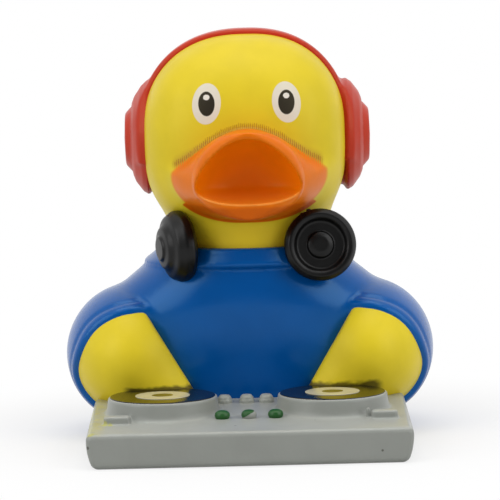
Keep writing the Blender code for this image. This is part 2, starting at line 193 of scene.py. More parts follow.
# The headphones round the neck. Left and right are the photograph's here.
CUP_PROFILE = (
    (0, -4.3),
    (2.3, -4.25),
    (2.7, -3.8),
    (4.1, -3.5),
    (5.0, -2.6),
    (6.3, -2.1),
    (7.4, -0.4),
    (7.4, 1.0),
    (6.5, 2.1),
    (5.6, 1.9),
    (4.8, 0.9),
    (2.8, 0.9),
    (2.6, 1.6),
    (1.6, 2.0),
    (0, 2.0),
)
LEFT_CUP_CENTRE = (-14.7, -13.8, 39.8)
LEFT_CUP_AXIS = (0.93, 0.34, 0.06)
RIGHT_CUP_CENTRE = (14.3, -17.2, 39.8)
RIGHT_CUP_AXIS = (0.10, -0.99, 0.10)
CUP_TAB_CENTRE = (11.0, -17.0, 45.9)
CUP_TAB_SIZE = (1.3, 1.2, 1.0)
CUP_SPIKE_CENTRE = (12.2, -17.0, 46.4)
CUP_SPIKE_SIZE = (1.1, 0.9, 1.6)
CUP_TAB_ROUNDING = 0.3
CUP_TAB_BLEND = 0.5
NAPE_BAND_HEIGHT = 41.2
NAPE_BAND_HALF_HEIGHT = 2.0
NAPE_BAND_THICKNESS = 1.6
NAPE_BAND_ENDS = (math.radians(-48), math.radians(228))
NAPE_BAND_SQUARENESS = 0.6

# The tail
TAIL_ROOT = (0.0, 21.0, 13.0)
TAIL_REACH = 16.2
TAIL_RISE = 12.0
TAIL_HALF_WIDTH = 12.5
TAIL_HALF_HEIGHT = 8.0
TAIL_THICKNESS = 5.0
TAIL_OVALS = 11
TAIL_NARROWING = 0.86
TAIL_TAPER = 1.9
TAIL_BLEND = 1.5

# The mixing desk, which sits off the head's axis too, with its slab a little off the controls' middle
DESK_FRONT_Y = -51.0
DESK_BACK_Y = -12.0
DESK_X = -1.2
SLAB_X = 0.3
DESK_TOP_HALF_WIDTH = 31.85
DESK_FOOT_HALF_WIDTH = 30.75
DESK_BOW = 0.5
DESK_FRONT_HEIGHT = 6.9
DESK_SLOPE = math.radians(2.5)
DESK_EDGE = 1.1

# The turntables. Their records lie level, though the desk slopes.
TURNTABLE_X = 17.1
TURNTABLE_Y = -28.6
PLATTER_PROFILE = ((0, 3.0), (11.3, 3.0), (11.2, 7.6), (10.8, 10.8), (0, 10.8))
PLATTER_TOP = 10.8
PLATTER_ROUNDING = 0.2
PLATTER_BLEND = 1.2
RECORD_RADIUS = 10.6
RECORD_TOP = 11.15
RECORD_SINK = 0.3
RECORD_GROOVE = 0.45
LABEL_RADIUS = 5.5
LABEL_CENTRE = 2.15
LABEL_TOP = 11.25
LABEL_SINK = 0.1
PICKUP_XS = (-25.9, 27.0)
PICKUP_Y = -39.8
PICKUP_SIZE = (5.2, 3.2, 1.5)
PICKUP_ROUNDING = 0.5
PEG_X = 23.75
PEG_SIZE = (0.9, 0.9, 2.0)
PEG_ROUNDING = 0.3
BLOCK_SINK = 1.0

# Where yellow is rubbed onto the desk and dark specks sit on it: place and size
DESK_RUBS = (
    ((-29.6, -41.6, 7.6), 0.9),
    ((-31.9, -49.8, 7.0), 1.1),
    ((-28.4, -41.9, 7.5), 0.7),
)
DESK_SPECKS = (
    ((-32.4, -50.6, 4.4), 0.45),
    ((24.8, -51.0, 2.6), 0.3),
    ((-3.7, -44.6, 7.3), 0.35),
    ((12.0, -41.0, 7.4), 0.25),
)
RUBBED_END = (-31.2, -28.6)
RUBBED_HEIGHTS = (6.4, 7.0)

# The knobs stand in a row at the back of the desk and the buttons in a row in front of them
KNOB_Y = -20.6
KNOB_PROFILE = ((0, -1.0), (1.6, -1.0), (1.55, 0.5), (1.4, 0.75), (1.35, 1.1), (0.95, 1.6), (0, 1.7))
KNOB_XS = (-4.7, -0.2, 3.8)
BUTTON_Y = -37.0
BUTTON_PROFILE = ((0, -1.0), (0.9, -1.0), (1.3, -0.1), (1.58, 0.5), (1.42, 1.15), (0.85, 1.55), (0, 1.65))
BUTTON_XS = (-5.1, 0.2, 5.5)
BUTTON_MIDDLE = 0.9
BUTTON_SLANT = 1.8

# The light: place, size and strength of each soft box, all aimed at the duck's middle
SOFT_BOXES = (
    ((-480, -330, 330), (420, 520), 1.55),
    ((480, -330, 330), (420, 520), 1.5),
    ((0, -60, 620), (560, 420), 1.35),
)
SKY = 0.5
FRONT_SKY = 0.11
FRONT_SKY_EDGES = (-0.85, -0.35)

# The floor: its reach and where it fades into white, in metres, how white it is near the duck,
# and its tones in what it lights and in the picture
FLOOR_REACH = 3.0
FLOOR_FADE = (0.025, 0.09)
FLOOR_WHITE = 0.45
FLOOR_TONES = (0.6, 0.9)

# The photograph's view
FRAME_PIXELS = 500
SENSOR = 36.0
DISTANCE = 630.0
FOCAL_PIXELS = 3000.0
ELEVATION = math.radians(5.5)
ROLL = math.radians(1.4)
AIM = (0.0, 0.0, 37.4)


class Grid:
    """Evenly spaced points in a block of space, on which fields are worked out.

    They are nudged off the round numbers, because a field that is exactly zero at a point is
    skinned badly there.
    """

    def __init__(self, low, high, step):
        self.low = np.array(low, dtype=float) + NUDGE
        self.step = step
        counts = np.ceil((np.array(high) - self.low) / step).astype(int) + 1
        lines = (start + step * np.arange(count) for start, count in zip(self.low, counts))
        axes = [line.astype(np.float32) for line in lines]
        self.x, self.y, self.z = np.meshgrid(*axes, indexing="ij", sparse=True)

    def settle(self, field):
        """Give a field a slope of about one, so that it tells the distance near its surface."""
        slopes = np.gradient(field, self.step)
        return field / np.maximum(np.sqrt(sum(slope * slope for slope in slopes)), 0.2)

    def sample(self, field, points):
        """The field's values at the points, in between the grid's own."""
        places = (points - self.low) / self.step
        places = np.clip(places, 0, np.array(field.shape) - 1.001)
        corner = places.astype(int)
        share = places - corner
        total = np.zeros(len(points))
        for offset in np.ndindex(2, 2, 2):
            weight = np.abs(1 - np.array(offset) - share).prod(axis=1)
            total += weight * field[tuple((corner + offset).T)]
        return total


def join(first, second, radius):
    """Both forms as one, with a round hollow of about that radius where they meet."""
    share = np.clip(0.5 + 0.5 * (second - first) / radius, 0, 1)
    return second * (1 - share) + first * share - radius * share * (1 - share)


def cut(form, tool, radius):
    """The form without the tool, with edges rounded by about that radius."""
    return -join(-form, tool, radius)


def superellipsoid(grid, centre, radii, squareness=2.0, plan_squareness=2.0):
    """A ball field, which may be squarer seen from the front and seen from above."""
    places = zip((grid.x, grid.y, grid.z), centre, radii)
    x, y, z = (np.abs(place - middle) / radius for place, middle, radius in places)
    level = (x ** plan_squareness + y ** plan_squareness) ** (1 / plan_squareness)
    size = (level ** squareness + z ** squareness) ** (1 / squareness)
    return grid.settle((size - 1) * min(radii))


def smooth_curve(at, knots, values):
    """A curve through the values without corners, at each of the places asked for."""
    knots, values = np.array(knots, dtype=float), np.array(values, dtype=float)
    slopes = np.gradient(values, knots)
    index = np.clip(np.searchsorted(knots, at) - 1, 0, len(knots) - 2)
    width = knots[index + 1] - knots[index]
    t = np.clip((at - knots[index]) / width, 0, 1)
    start, end = values[index], values[index + 1]
    lead, trail = slopes[index] * width, slopes[index + 1] * width
    return (
        (2 * t ** 3 - 3 * t ** 2 + 1) * start
        + (t ** 3 - 2 * t ** 2 + t) * lead
        + (3 * t ** 2 - 2 * t ** 3) * end
        + (t ** 3 - t ** 2) * trail
    )


def stacked_ovals(grid, sections, squareness):
    """A field whose level cuts are ovals of the given half widths and reaches."""
    knots = [section[0] for section in sections]
    columns = ([section[index] for section in sections] for index in (1, 2, 3))
    half_width, front, back = (smooth_curve(grid.z, knots, column) for column in columns)
    reach = np.where(grid.y > 0, back, front)
    size = np.abs(grid.x / half_width) ** squareness + np.abs(grid.y / reach) ** squareness
    size = size ** (1 / squareness)
    return grid.settle(((size - 1) * half_width).astype(np.float32))


def surface_net(grid, field):
    """Skin a field's zero with quads: one point for each cell that the surface passes through."""
    shape = np.array(field.shape)
    corners, crossings, flips = [], [], []
    for axis in range(3):
        near = np.moveaxis(field, axis, 0)[:-1]
        far = np.moveaxis(field, axis, 0)[1:]
        found = np.argwhere((near < 0) != (far < 0))
        start = near[tuple(found.T)]
        share = start / (start - far[tuple(found.T)])
        order = [axis] + [other for other in range(3) if other != axis]
        index = np.empty_like(found)
        index[:, order] = found
        point = index.astype(float)
        point[:, axis] += share
        u, v = (axis + 1) % 3, (axis + 2) % 3
        ring = []
        for du, dv in ((-1, -1), (0, -1), (0, 0), (-1, 0)):
            cell = index.copy()
            cell[:, u] += du
            cell[:, v] += dv
            ring.append(np.ravel_multi_index(tuple(cell.T), tuple(shape)))
        corners.append(np.stack(ring, axis=1))
        crossings.append(point)
        flips.append(start > 0)
    corners, crossings, flips = np.concatenate(corners), np.concatenate(crossings), np.concatenate(flips)
    corners[flips] = corners[flips][:, ::-1]
    faces = np.unique(corners, return_inverse=True)[1].reshape(corners.shape)
    weights = np.repeat(crossings, 4, axis=0)
    count = np.bincount(faces.ravel())
    points = np.stack([np.bincount(faces.ravel(), weights[:, i]) / count for i in range(3)], axis=1)
    points = grid.low + points * grid.step
    slopes = np.gradient(field, grid.step)
    limit = 0.25 * grid.step
    for _ in range(2):
        slope = np.stack([grid.sample(part, points) for part in slopes], axis=1)
        size = np.maximum((slope ** 2).sum(axis=1), 0.05)
        move = -(grid.sample(field, points) / size)[:, None] * slope
        points += np.clip(move, -limit, limit)
    return points, faces


def skin(name, grid, field, marks, material):
    """Make a piece of the field's surface. Each mark is a field that its material can read."""
    points, faces = surface_net(grid, field)
    mesh = bpy.data.meshes.new(name)
    mesh.from_pydata((points * MM).tolist(), [], faces.tolist())
    mesh.shade_smooth()
    for mark, values in marks.items():
        layer = mesh.attributes.new(mark, "FLOAT", "POINT")
        layer.data.foreach_set("value", grid.sample(values, points).astype(np.float32))
    mesh.materials.append(material)
    piece = bpy.data.objects.new(name, mesh)
    bpy.context.scene.collection.objects.link(piece)
    return piece


def adopt(piece, x=0.0):
    """The piece belongs to the duck, which is one moulding. It may sit off the head's axis."""
    piece.location.x = x * MM
    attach(piece, "root")
    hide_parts("duck")
    return piece


def crested_oval(across, up, power):
    """The size of the oval that a point lies on. Its crest is rounded, where a low power makes a peak."""
    across = (np.hypot(across, CREST) - CREST) / (math.hypot(1, CREST) - CREST)
    return (across ** power + np.abs(up) ** power) ** (1 / power)


def bill_fields(grid):
    """The bill's outside, and the hollow of the open mouth."""
    span = BILL_ROOT_Y - BILL_TIP_Y
    along = np.clip((BILL_ROOT_Y - grid.y) / span, 0, 1)
    y = grid.y - BILL_UNDERCUT * along * (BILL_TOP - grid.z) / BILL_UNDERCUT_HEIGHT
    to_front = np.clip((BILL_ROOT_Y - y) / (BILL_ROOT_Y - BILL_FRONT_Y), 0, 1)
    past_front = np.clip((BILL_FRONT_Y - y) / (BILL_FRONT_Y - BILL_TIP_Y), 0, 0.995)
    half_width = BILL_HALF_WIDTHS[0] + (BILL_HALF_WIDTHS[1] - BILL_HALF_WIDTHS[0]) * to_front ** BILL_TAPER
    half_width = half_width * (1 - past_front ** BILL_ROUNDNESS) ** (1 / BILL_ROUNDNESS)
    corner = BILL_CORNERS[0] + (BILL_CORNERS[1] - BILL_CORNERS[0]) * to_front
    bottom = BILL_BOTTOMS[0] + (BILL_BOTTOMS[1] - BILL_BOTTOMS[0]) * to_front
    rise = grid.z - corner
    height = np.where(rise > 0, BILL_TOP - corner, corner - bottom)
    power = smooth_curve(to_front, *zip(*BILL_SQUARENESS))
    size = crested_oval(grid.x / half_width, rise / height, np.where(rise > 0, power, 2.0))
    outside = grid.settle(((size - 1) * BILL_SCALE).astype(np.float32))
    outside = np.maximum(outside, BILL_TIP_Y - y)
    outside = np.maximum(outside, grid.y - BILL_ROOT_Y)

    depth = np.clip((grid.y - MOUTH_FRONT_Y) / (THROAT_Y - MOUTH_FRONT_Y), 0, 2)
    rise = grid.z - MOUTH_CORNER
    height = np.where(rise > 0, MOUTH_TOP - MOUTH_CORNER, MOUTH_CORNER - MOUTH_BOTTOM)
    power = np.where(rise > 0, MOUTH_SQUARENESS, 2.0)
    size = crested_oval(grid.x / MOUTH_HALF_WIDTH, rise / height, power)
    hollow = grid.settle(((np.sqrt(size ** 2 + depth ** 2) - 1) * BILL_SCALE).astype(np.float32))
    return outside, hollow


def ellipse_mark(grid, x, z, size, lean):
    """How far outside an upright oval on the face a point is, in millimetres."""
    dx, dz = grid.x - x, grid.z - z
    across = dx * math.cos(lean) - dz * math.sin(lean)
    up = dx * math.sin(lean) + dz * math.cos(lean)
    reach = np.sqrt((across / size[0]) ** 2 + (up / size[1]) ** 2)
    return np.broadcast_to((reach - 1) * min(size), (grid.x.size, grid.y.size, grid.z.size))


def head_field(grid, growth=0.0):
    """The head's ball, larger by some millimetres; its right side is a little wider than its left."""
    wide, deep, tall = [radius + growth for radius in HEAD_RADII]
    powers = (HEAD_SQUARENESS, HEAD_PLAN_SQUARENESS)
    left = superellipsoid(grid, HEAD_CENTRE, (wide, deep, tall), *powers)
    right = superellipsoid(grid, HEAD_CENTRE, (wide * (1 + HEAD_RIGHT_EXCESS), deep, tall), *powers)
    return np.where(grid.x < 0, right, left)


def make_head(material):
    """The head, neck and bill in one, with marks for the edges of its paint."""
    grid = Grid((-23.6, -35.5, 33.0), (22.5, 22.5, 84.0), 0.4)
    head = head_field(grid)
    neck = np.sqrt(grid.x ** 2 + grid.y ** 2) - NECK_RADIUS + 0 * grid.z
    neck = np.maximum(neck, grid.z - NECK_TOP)
    head = join(head, neck, NECK_BLEND)
    bill, hollow = bill_fields(grid)
    whole = cut(join(head, bill, BILL_BLEND), hollow, MOUTH_EDGE)
    whole = np.maximum(whole, NECK_FOOT - grid.z)
    eyes = np.minimum(
        ellipse_mark(grid, -EYE_X, EYE_HEIGHT, EYE_SIZE, EYE_LEAN),
        ellipse_mark(grid, EYE_X, EYE_HEIGHT, EYE_SIZE, -EYE_LEAN),
    )
    pupils = np.minimum(
        ellipse_mark(grid, -EYE_X, EYE_HEIGHT, PUPIL_SIZE, 0),
        ellipse_mark(grid, EYE_X, EYE_HEIGHT, PUPIL_SIZE, 0),
    )
    glints = np.minimum(
        ellipse_mark(grid, -EYE_X, EYE_HEIGHT + GLINT_RISE, GLINT_SIZE, 0),
        ellipse_mark(grid, EYE_X, EYE_HEIGHT + GLINT_RISE, GLINT_SIZE, 0),
    )
    behind = np.broadcast_to(np.clip(grid.y - EYES_BACK_Y, 0, 10), whole.shape)
    marks = {
        "bill": bill,
        "mouth": hollow,
        "eye": eyes + behind,
        "pupil": pupils + behind,
        "glint": glints + behind,
    }
    return adopt(skin("head", grid, whole, marks, material))


def turned_field(grid, profile, centre, axis):
    """A turned form: the profile's radii and distances run about and along the axis."""
    axis = np.array(axis) / np.linalg.norm(axis)
    x, y, z = grid.x - centre[0], grid.y - centre[1], grid.z - centre[2]
    along = x * axis[0] + y * axis[1] + z * axis[2]
    radius = np.sqrt(np.maximum(x * x + y * y + z * z - along * along, 0))
    distance = np.full(radius.shape, 1e9, dtype=np.float32)
    inside = np.zeros(radius.shape, dtype=bool)
    for (r0, a0), (r1, a1) in zip(profile, profile[1:] + profile[:1]):
        dr, da = r1 - r0, a1 - a0
        if r0 or r1:
            share = np.clip(((radius - r0) * dr + (along - a0) * da) / (dr * dr + da * da), 0, 1)
            distance = np.minimum(distance, np.hypot(radius - r0 - share * dr, along - a0 - share * da))
        if da:
            between = (along > min(a0, a1)) & (along <= max(a0, a1))
            inside ^= between & (radius < r0 + (along - a0) * dr / da)
    return np.where(inside, -distance, distance)


def block_field(grid, centre, size, rounding):
    """A block with rounded edges."""
    sides = [
        np.abs(place - middle) - length / 2 + rounding
        for place, middle, length in zip((grid.x, grid.y, grid.z), centre, size)
    ]
    outside = np.sqrt(sum(np.maximum(side, 0) ** 2 for side in sides))
    inside = np.minimum(np.maximum(np.maximum(sides[0], sides[1]), sides[2]), 0)
    return outside + inside - rounding


def rounded(profile, radius, steps=4):
    """The profile with an arc for each corner, and a point near each end to keep the flats flat."""
    points = [Vector(point) for point in profile]
    result = [points[0]]
    for before, corner, after in zip(points, points[1:], points[2:]):
        reach = min(radius, 0.4 * (before - corner).length, 0.4 * (after - corner).length)
        start = corner + (before - corner).normalized() * reach
        end = corner + (after - corner).normalized() * reach
        result.append(start.lerp(before, 0.1))
        for step in range(steps + 1):
            share = step / steps
            result.append(start.lerp(corner, share).lerp(corner.lerp(end, share), share))
        result.append(end.lerp(after, 0.1))
    result.append(points[-1])
    return result


def lofted(name, rings, material, marks=None):
    """A closed skin over rings of points, where one point is a tip. A mark has a value for each ring."""
    points, starts = [], []
    for ring in rings:
        starts.append(len(points))
        points.extend(ring)
    faces = []
    for row, (ring, following) in enumerate(zip(rings, rings[1:])):
        for index in range(max(len(ring), len(following))):
            corners = (
                starts[row] + index % len(ring),
                starts[row] + (index + 1) % len(ring),
                starts[row + 1] + (index + 1) % len(following),
                starts[row + 1] + index % len(following),
            )
            faces.append(list(dict.fromkeys(corners)))
    for row, ring in ((0, rings[0]), (-1, rings[-1])):
        if len(ring) > 1:
            face = [starts[row] + index for index in range(len(ring))]
            faces.append(face if row else face[::-1])
    mesh = bpy.data.meshes.new(name)
    mesh.from_pydata([tuple(point * MM) for point in points], [], faces)
    mesh.shade_smooth()
    for mark, values in (marks or {}).items():
        layer = mesh.attributes.new(mark, "FLOAT", "POINT")
        spread = [value for ring, value in zip(rings, values) for _ in ring]
        layer.data.foreach_set("value", spread)
    mesh.materials.append(material)
    piece = bpy.data.objects.new(name, mesh)
    bpy.context.scene.collection.objects.link(piece)
    return piece


def turned(name, profile, centre, axis, material, segments=72):
    """A turned piece, whose material can read the distance from the axis as the mark called radius."""
    place = Matrix.Translation(centre) @ Vector(axis).to_track_quat("Z", "Y").to_matrix().to_4x4()
    rings = []
    for radius, distance in profile:
        count = segments if radius else 1
        angles = [2 * math.pi * step / count for step in range(count)]
        points = [(radius * math.cos(angle), radius * math.sin(angle), distance) for angle in angles]
        rings.append([place @ Vector(point) for point in points])
    return lofted(name, rings, material, {"radius": [radius for radius, _ in profile]})


def headphone_fields(grid):
    """The headband that hugs the head, widening into the ear cups at its ends."""
    spread = np.clip((EARCUP_HEIGHT + HEADBAND_FLARE_TOP - grid.z) / HEADBAND_FLARE_HEIGHT, 0, 1)
    half_width = HEADBAND_HALF_WIDTH + HEADBAND_FLARE * spread * spread
    band = head_field(grid, HEADBAND_THICKNESS)
    band = -join(-band, half_width - np.abs(grid.y), HEADBAND_EDGE)
    band = np.maximum(band, EARCUP_HEIGHT - HEADBAND_FOOT - grid.z)
    band = np.maximum(band, -head_field(grid, -HEADBAND_SINK))
    middle = (0, EARCUP_Y, EARCUP_HEIGHT)
    cups = [turned_field(grid, EARCUP_PROFILE, middle, (side, 0, 0)) for side in (-1, 1)]
    return join(band, np.minimum(*cups) - EARCUP_ROUNDING, EARCUP_BLEND)


def make_headphones(material):
    """The red headphones: the band and both ear cups in one."""
    grid = Grid((-27.0, -10.4, 48.0), (27.0, 15.4, 85.2), 0.36)
    adopt(skin("headphones", grid, headphone_fields(grid), {}, material))


def make_neck_cups(material):
    """The cups of the black headphones, and the rough tab on top of the front one."""
    profile = rounded(CUP_PROFILE, 0.35)
    for name, centre, axis in (
        ("right_neck_cup", LEFT_CUP_CENTRE, LEFT_CUP_AXIS),
        ("left_neck_cup", RIGHT_CUP_CENTRE, RIGHT_CUP_AXIS),
    ):
        adopt(turned(name, profile, centre, axis, material))
    grid = Grid((8.5, -19.5, 44.0), (14.0, -14.0, 49.0), 0.2)
    tab = block_field(grid, CUP_TAB_CENTRE, CUP_TAB_SIZE, CUP_TAB_ROUNDING)
    spike = block_field(grid, CUP_SPIKE_CENTRE, CUP_SPIKE_SIZE, CUP_TAB_ROUNDING)
    adopt(skin("neck_cup_tab", grid, join(tab, spike, CUP_TAB_BLEND), {}, material))


def make_nape_band(material):
    """A band behind the neck that joins the two neck cups."""
    steps = 60
    start, end = NAPE_BAND_ENDS
    rings = []
    for step in range(steps + 1):
        angle = start + (end - start) * step / steps
        outwards = Vector((math.cos(angle), math.sin(angle), 0))
        ring = []
        for part in range(24):
            turn = 2 * math.pi * part / 24
            up = math.copysign(abs(math.sin(turn)) ** NAPE_BAND_SQUARENESS, math.sin(turn))
            out = math.copysign(abs(math.cos(turn)) ** NAPE_BAND_SQUARENESS, math.cos(turn))
            height = NAPE_BAND_HEIGHT + NAPE_BAND_HALF_HEIGHT * up
            ring.append(outwards * (NECK_RADIUS + NAPE_BAND_THICKNESS * out) + Vector((0, 0, height)))
        rings.append(ring)
    adopt(lofted("nape_band", rings, material))


def arm_field(grid, side):
    """A plump arm that ends in a round hand, with a straight inner edge down to it."""
    arm = superellipsoid(grid, (side * SLEEVE_CENTRE[0], *SLEEVE_CENTRE[1:]), ARM_RADII)
    hand = superellipsoid(grid, (side * HAND_CENTRE[0], *HAND_CENTRE[1:]), HAND_RADII)
    across, up = ARM_EDGE_TOP[0] - ARM_EDGE_FOOT[0], ARM_EDGE_TOP[1] - ARM_EDGE_FOOT[1]
    beyond = across * (grid.z - ARM_EDGE_TOP[1]) - up * (side * grid.x - ARM_EDGE_TOP[0])
    beyond = beyond / math.hypot(across, up)
    return -join(-join(arm, hand, HAND_BLEND), -beyond, ARM_EDGE_ROUNDING)


def sleeve_field(grid, side):
    """A full sleeve, cut off at a cuff that leans forward at its top, with a hem line behind it."""
    centre = (side * SLEEVE_CENTRE[0], *SLEEVE_CENTRE[1:])
    sleeve = superellipsoid(grid, centre, SLEEVE_RADII)
    outwards = side * grid.x - SLEEVE_CENTRE[0]
    inwards = CUFF_INNER_START - outwards
    inwards = np.minimum((np.hypot(inwards, CUFF_INNER_SOFTNESS) + inwards) / 2, CUFF_INNER_LIMIT)
    swept = CUFF_SWEEP * np.maximum(outwards, 0) + CUFF_INNER_SWEEP * inwards
    lean = CUFF_LEAN * np.tanh((grid.z - CUFF_HEIGHT) / CUFF_BEND)
    from_cuff = grid.y - CUFF_Y - swept + lean
    hem = HEM_GROOVE * np.clip((outwards - HEM_START) / HEM_FADE, 0, 1)
    hem = hem * np.exp(-((from_cuff - HEM_WIDTH) / HEM_GROOVE_WIDTH) ** 2)
    return -join(-sleeve, from_cuff, CUFF_EDGE) + hem


def make_body(material):
    """The shirt: body, both sleeves and collar in one."""
    grid = Grid((-39.5, -24.0, -0.9), (39.5, 33.0, 41.0), 0.45)
    torso = stacked_ovals(grid, TORSO, TORSO_SQUARENESS)
    torso = np.maximum(torso, grid.z - TORSO_TOP)
    for side in (-1, 1):
        torso = join(torso, sleeve_field(grid, side), SLEEVE_BLEND)
    collar = stacked_ovals(grid, COLLAR, TORSO_SQUARENESS)
    middle = sum(COLLAR_HEIGHTS) / 2
    collar = -join(-collar, COLLAR_HEIGHTS[1] - middle - np.abs(grid.z - middle), COLLAR_EDGE)
    whole = join(torso, collar, COLLAR_BLEND)
    whole = np.maximum(whole, -grid.z)
    adopt(skin("shirt", grid, whole, {}, material), BODY_X)


def make_arms(material):
    """Both arms, which fill the sleeves and end in hands on the records."""
    for side, name in ((-1, "right_arm"), (1, "left_arm")):
        low = (-38.0, -22.5, -0.9) if side < 0 else (5.0, -22.5, -0.9)
        high = (-5.0, 7.0, 27.0) if side < 0 else (38.0, 7.0, 27.0)
        grid = Grid(low, high, 0.4)
        arm = np.maximum(arm_field(grid, side), -grid.z)
        adopt(skin(name, grid, arm, {}, material), BODY_X)


def make_tail(material):
    """A flat, curled tail, joined up from leaning ovals."""
    grid = Grid((-14.0, 14.0, 1.0), (14.0, 40.5, 31.0), 0.45)
    whole = None
    for step in range(TAIL_OVALS):
        along = step / (TAIL_OVALS - 1)
        share = 1 - TAIL_NARROWING * along ** TAIL_TAPER
        y = TAIL_ROOT[1] + TAIL_REACH * math.sin(along * math.pi / 2)
        z = TAIL_ROOT[2] + TAIL_RISE * along ** 2
        radii = (TAIL_HALF_WIDTH * share, TAIL_THICKNESS * share, TAIL_HALF_HEIGHT * share)
        oval = superellipsoid(grid, (TAIL_ROOT[0], y, z), radii)
        whole = oval if whole is None else join(whole, oval, TAIL_BLEND)
    adopt(skin("tail", grid, whole, {}, material), BODY_X)


def desk_height(y):
    """The height of the sloping top of the desk."""
    return DESK_FRONT_HEIGHT + (y - DESK_FRONT_Y) * math.tan(DESK_SLOPE)


def slab_field(grid):
    """The desk's box: its sides bow out a little, and all its edges are rounded."""
    height = desk_height(grid.y)
    share = np.clip(grid.z / height, 0, 1)
    half_width = DESK_FOOT_HALF_WIDTH + (DESK_TOP_HALF_WIDTH - DESK_FOOT_HALF_WIDTH) * share
    half_width = half_width + DESK_BOW * 4 * share * (1 - share)
    middle = (DESK_FRONT_Y + DESK_BACK_Y) / 2
    sides = (
        np.abs(grid.x - SLAB_X) - half_width + DESK_EDGE,
        np.abs(grid.y - middle) - (DESK_BACK_Y - DESK_FRONT_Y) / 2 + DESK_EDGE + 0 * grid.z,
        np.abs(grid.z - height / 2) - height / 2 + DESK_EDGE,
    )
    outside = np.sqrt(sum(np.maximum(side, 0) ** 2 for side in sides))
    inside = np.minimum(np.maximum(np.maximum(sides[0], sides[1]), sides[2]), 0)
    return outside + inside - DESK_EDGE


def standing_block(grid, x, size, rounding):
    """A block on the desk in line with the pickups, sunk in a little."""
    height = desk_height(PICKUP_Y) + (size[2] - BLOCK_SINK) / 2
    return block_field(grid, (x, PICKUP_Y, height), (*size[:2], size[2] + BLOCK_SINK), rounding)


def make_desk(material):
    """The desk with all that is moulded on it: platters, pickups and a peg."""
    grid = Grid((-34.5, -52.0, -0.9), (33.5, -10.8, 12.4), 0.34)
    desk = slab_field(grid)
    for side, pickup_x in zip((-1, 1), PICKUP_XS):
        platter = turned_field(grid, PLATTER_PROFILE, (side * TURNTABLE_X, TURNTABLE_Y, 0), (0, 0, 1))
        desk = join(desk, platter - PLATTER_ROUNDING, PLATTER_BLEND)
        pickup = standing_block(grid, pickup_x, PICKUP_SIZE, PICKUP_ROUNDING)
        desk = join(desk, pickup, PICKUP_ROUNDING)
    peg = standing_block(grid, PEG_X, PEG_SIZE, PEG_ROUNDING)
    desk = join(desk, peg, PEG_ROUNDING)
    adopt(skin("desk", grid, desk, {}, material), DESK_X)


def disc_profile(radius, foot, top, rounding):
    """The profile of a flat disc between two heights."""
    return rounded(((0, foot), (radius, foot), (radius, top), (0, top)), rounding)


def make_records(record_material, label_material):
    record = disc_profile(RECORD_RADIUS, PLATTER_TOP - RECORD_SINK, RECORD_TOP, 0.15)
    label = disc_profile(LABEL_RADIUS, RECORD_TOP - LABEL_SINK, LABEL_TOP, 0.05)
    for side, name in ((-1, "right"), (1, "left")):
        place = (side * TURNTABLE_X, TURNTABLE_Y, 0)
        piece = turned(name + "_record", record, place, (0, 0, 1), record_material, 96)
        adopt(piece, DESK_X)
        piece = turned(name + "_label", label, place, (0, 0, 1), label_material, 96)
        adopt(piece, DESK_X)


def make_controls(knob_material, button_material, half_material):
    """Three knobs and three buttons, of which the middle one is painted on one side only."""
    names = ("right", "middle", "left")
    knob_profile, button_profile = rounded(KNOB_PROFILE, 0.2), rounded(BUTTON_PROFILE, 0.4)
    for name, knob_x, button_x in zip(names, KNOB_XS, BUTTON_XS):
        place = (knob_x, KNOB_Y, desk_height(KNOB_Y))
        knob = turned(name + "_knob", knob_profile, place, (0, 0, 1), knob_material, 36)
        adopt(knob, DESK_X)
        material = half_material if name == "middle" else button_material
        place = (button_x, BUTTON_Y, desk_height(BUTTON_Y))
        button = turned(name + "_button", button_profile, place, (0, 0, 1), material, 36)
        adopt(button, DESK_X)


def tone(red, green, blue):
    """A colour of the photograph, as the shader's own values."""
    return tuple(
        ((value / 255 + 0.055) / 1.055) ** 2.4 if value > 10 else value / 3295
        for value in (red, green, blue)
    )


